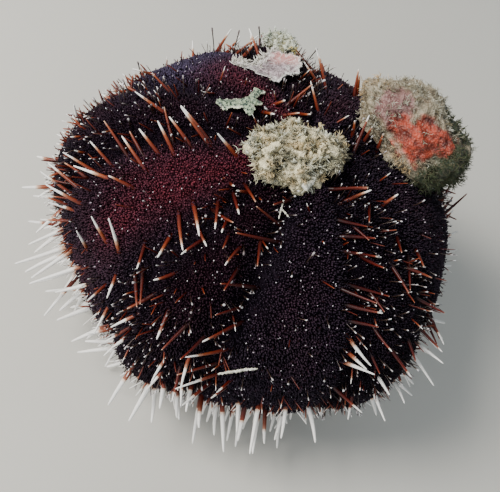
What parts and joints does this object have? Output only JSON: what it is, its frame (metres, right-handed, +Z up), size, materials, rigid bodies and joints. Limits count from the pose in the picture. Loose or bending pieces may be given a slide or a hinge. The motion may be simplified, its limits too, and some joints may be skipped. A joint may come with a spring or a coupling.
{
  "type": "collector urchin",
  "caption": "Still model of a domed sea urchin with bands of velvety skin between rows of short spines, carrying rubble, coral and weed on its top.",
  "frame": {"origin": "on the floor, under the middle of the outline as seen from above", "axes": "+Z up through the dome; -Y towards the side that the picture's camera is on; +X to the right"},
  "size_m": [0.1502, 0.1438, 0.0981],
  "materials": {
    "velvet": "soft, matt, dark purple velvet of tiny pincers",
    "crown": "matt dark skin over small plates",
    "mouth": "soft skin, slightly wet",
    "rubble": "rough reef rubble grown over with red crust and turf",
    "coral": "rough pale coral branches",
    "crust": "rough pink coralline crust",
    "weed": "smooth, slightly wet blade of weed"
  },
  "bodies": {
    "root": {"ambulacrum_1": "velvet", "ambulacrum_2": "velvet", "ambulacrum_3": "velvet", "ambulacrum_4": "velvet", "ambulacrum_5": "velvet", "interambulacrum_1": "velvet", "interambulacrum_2": "velvet", "interambulacrum_3": "velvet", "interambulacrum_4": "velvet", "interambulacrum_5": "velvet", "crown": "crown", "mouth": "mouth", "carried_rubble": "rubble", "carried_coral": "coral", "carried_crust": "crust", "carried_tuft": "coral", "carried_weed": "weed"}
  },
  "joints": []
}
